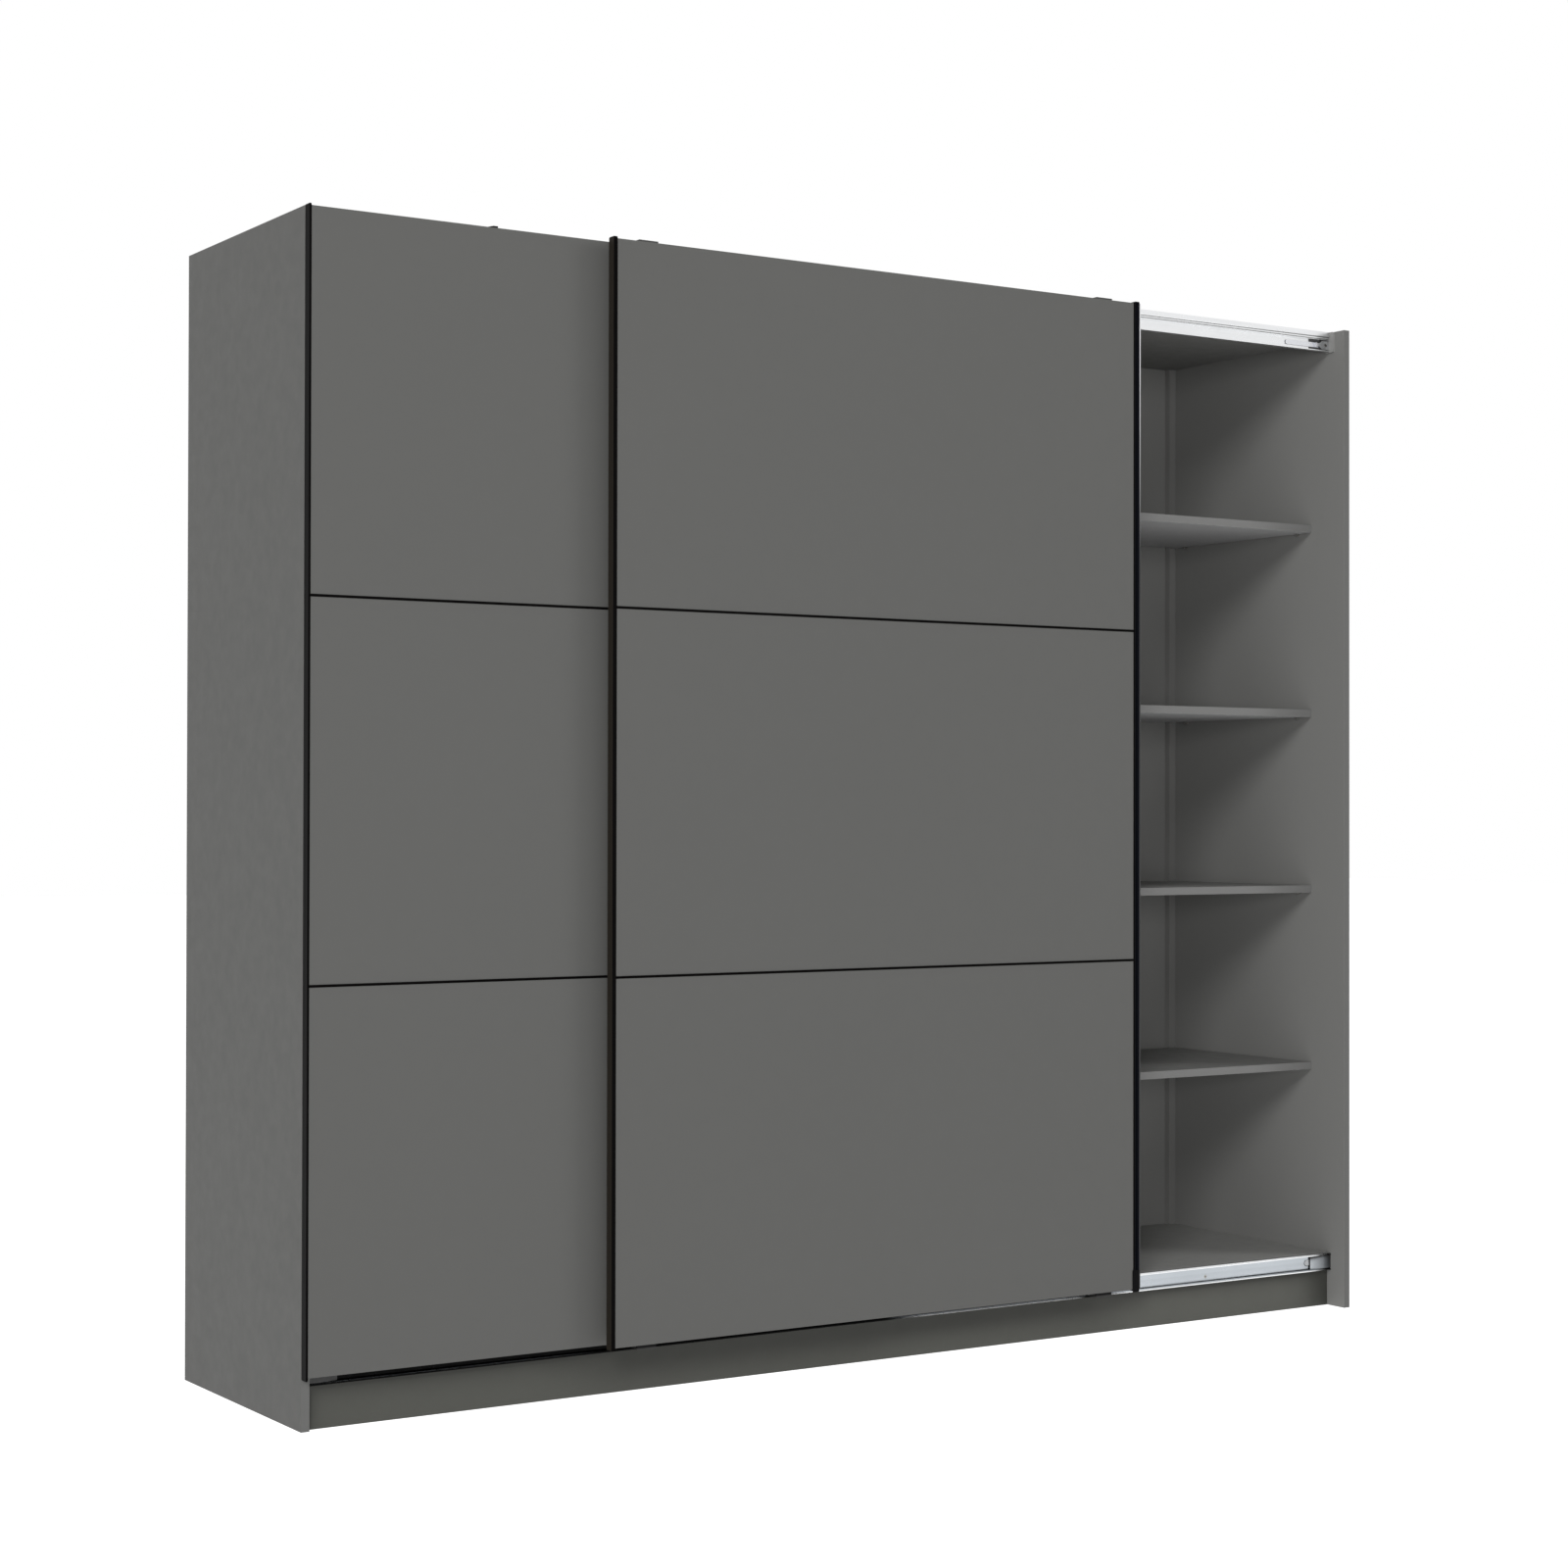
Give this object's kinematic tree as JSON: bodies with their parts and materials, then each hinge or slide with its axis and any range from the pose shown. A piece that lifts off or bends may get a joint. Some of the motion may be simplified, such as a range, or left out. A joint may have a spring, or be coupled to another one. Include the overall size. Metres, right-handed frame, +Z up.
{
  "type": "sliding door wardrobe",
  "caption": "Wide graphite wardrobe with sliding doors on wheels, slim black profiles, aluminium rails, shelves and hanging rails inside.",
  "frame": {"origin": "middle of the footprint, on the floor; the footprint runs from the front face of the front door to the rear edges of the side panels", "axes": "+X to the right when facing the doors, +Y towards the wall, +Z up"},
  "size_m": [2.4, 0.6, 2.1035],
  "materials": {
    "graphite_board": "graphite melamine-faced particle board, fine matt texture, edge bands a shade lighter",
    "door_board": "graphite melamine-faced particle board door leaf, fine matt texture",
    "back_sheet": "thin graphite printed hardboard",
    "black_profile": "black anodised aluminium, satin",
    "rail_aluminium": "bright natural anodised aluminium, drawn along its length",
    "nylon": "black nylon",
    "black_plastic": "black moulded plastic",
    "stop_rubber": "dark rubber",
    "grey_plastic": "mid grey moulded plastic",
    "seal_strip": "light grey soft plastic closing strip",
    "zinc_steel": "zinc plated steel",
    "bracket_steel": "zinc plated pressed steel",
    "socket_metal": "nickel plated die casting",
    "rail_chrome": "chrome plated steel tube",
    "beech": "fluted beech dowel"
  },
  "bodies": {
    "carcass": {"back_battens": "graphite_board", "back_panel_left": "back_sheet", "back_panel_middle": "back_sheet", "back_panel_nails": "zinc_steel", "back_panel_right": "back_sheet", "bottom_panel": "graphite_board", "bottom_rail": "rail_aluminium", "bottom_stops": "stop_rubber", "carcass_screws": "zinc_steel", "catch_springs": "zinc_steel", "clothes_rail_left": "rail_chrome", "clothes_rail_middle": "rail_chrome", "clothes_rail_sockets": "socket_metal", "dowels": "beech", "panel_connectors": "zinc_steel", "partition_left": "graphite_board", "partition_right": "graphite_board", "plinth_front": "graphite_board", "plinth_rear": "graphite_board", "plinth_supports": "graphite_board", "rail_end_caps": "grey_plastic", "shelf_left": "graphite_board", "shelf_middle": "graphite_board", "shelf_pins": "zinc_steel", "shelf_right_1": "graphite_board", "shelf_right_2": "graphite_board", "shelf_right_3": "graphite_board", "shelf_right_4": "graphite_board", "side_panel_left": "graphite_board", "side_panel_right": "graphite_board", "top_catch_plates": "black_plastic", "top_panel": "graphite_board", "top_rail": "rail_aluminium", "wall_brackets": "bracket_steel"},
    "rear_door": {"rear_door_divider_lower": "black_profile", "rear_door_divider_upper": "black_profile", "rear_door_panel_bottom": "door_board", "rear_door_panel_middle": "door_board", "rear_door_panel_top": "door_board", "rear_door_profile_left": "black_profile", "rear_door_profile_right": "black_profile", "rear_door_screws": "zinc_steel", "rear_door_top_clip": "black_plastic", "rear_door_top_guides": "black_plastic", "rear_door_wheel_brackets": "bracket_steel"},
    "front_door": {"front_door_divider_lower": "black_profile", "front_door_divider_upper": "black_profile", "front_door_grip_profile": "black_profile", "front_door_panel_bottom": "door_board", "front_door_panel_middle": "door_board", "front_door_panel_top": "door_board", "front_door_profile_left": "black_profile", "front_door_screws": "zinc_steel", "front_door_seal": "seal_strip", "front_door_top_guides": "bracket_steel", "front_door_wheel_brackets": "bracket_steel"},
    "rear_door_wheel_left": {"rear_door_wheel_left": "nylon"},
    "rear_door_wheel_right": {"rear_door_wheel_right": "nylon"},
    "front_door_wheel_left": {"front_door_wheel_left": "nylon"},
    "front_door_wheel_right": {"front_door_wheel_right": "nylon"}
  },
  "joints": [
    {"name": "rear_door_slide", "type": "slide", "parent": "carcass", "child": "rear_door", "axis": [1, 0, 0], "range_m": [0, 1.148]},
    {"name": "front_door_slide", "type": "slide", "parent": "carcass", "child": "front_door", "axis": [1, 0, 0], "range_m": [-0.574, 0.596]},
    {"name": "rear_door_wheel_left_spin", "type": "hinge", "parent": "rear_door", "child": "rear_door_wheel_left", "pos_m": [-1.1175, -0.236, 0.1227], "axis": [0, 1, 0], "range_deg": [-5, 7002.4]},
    {"name": "rear_door_wheel_right_spin", "type": "hinge", "parent": "rear_door", "child": "rear_door_wheel_right", "pos_m": [-0.0525, -0.236, 0.1227], "axis": [0, 1, 0], "range_deg": [-5, 7002.4]},
    {"name": "front_door_wheel_left_spin", "type": "hinge", "parent": "front_door", "child": "front_door_wheel_left", "pos_m": [-0.5435, -0.236, 0.0907], "axis": [0, 1, 0], "range_deg": [-3503.7, 3637.8]},
    {"name": "front_door_wheel_right_spin", "type": "hinge", "parent": "front_door", "child": "front_door_wheel_right", "pos_m": [0.5215, -0.236, 0.0907], "axis": [0, 1, 0], "range_deg": [-3503.7, 3637.8]}
  ],
  "couplings": [
    {"joint": "rear_door_wheel_left_spin", "follows": "rear_door_slide", "rad_per_m": 106.38},
    {"joint": "rear_door_wheel_right_spin", "follows": "rear_door_slide", "rad_per_m": 106.38},
    {"joint": "front_door_wheel_left_spin", "follows": "front_door_slide", "rad_per_m": 106.38},
    {"joint": "front_door_wheel_right_spin", "follows": "front_door_slide", "rad_per_m": 106.38}
  ]
}
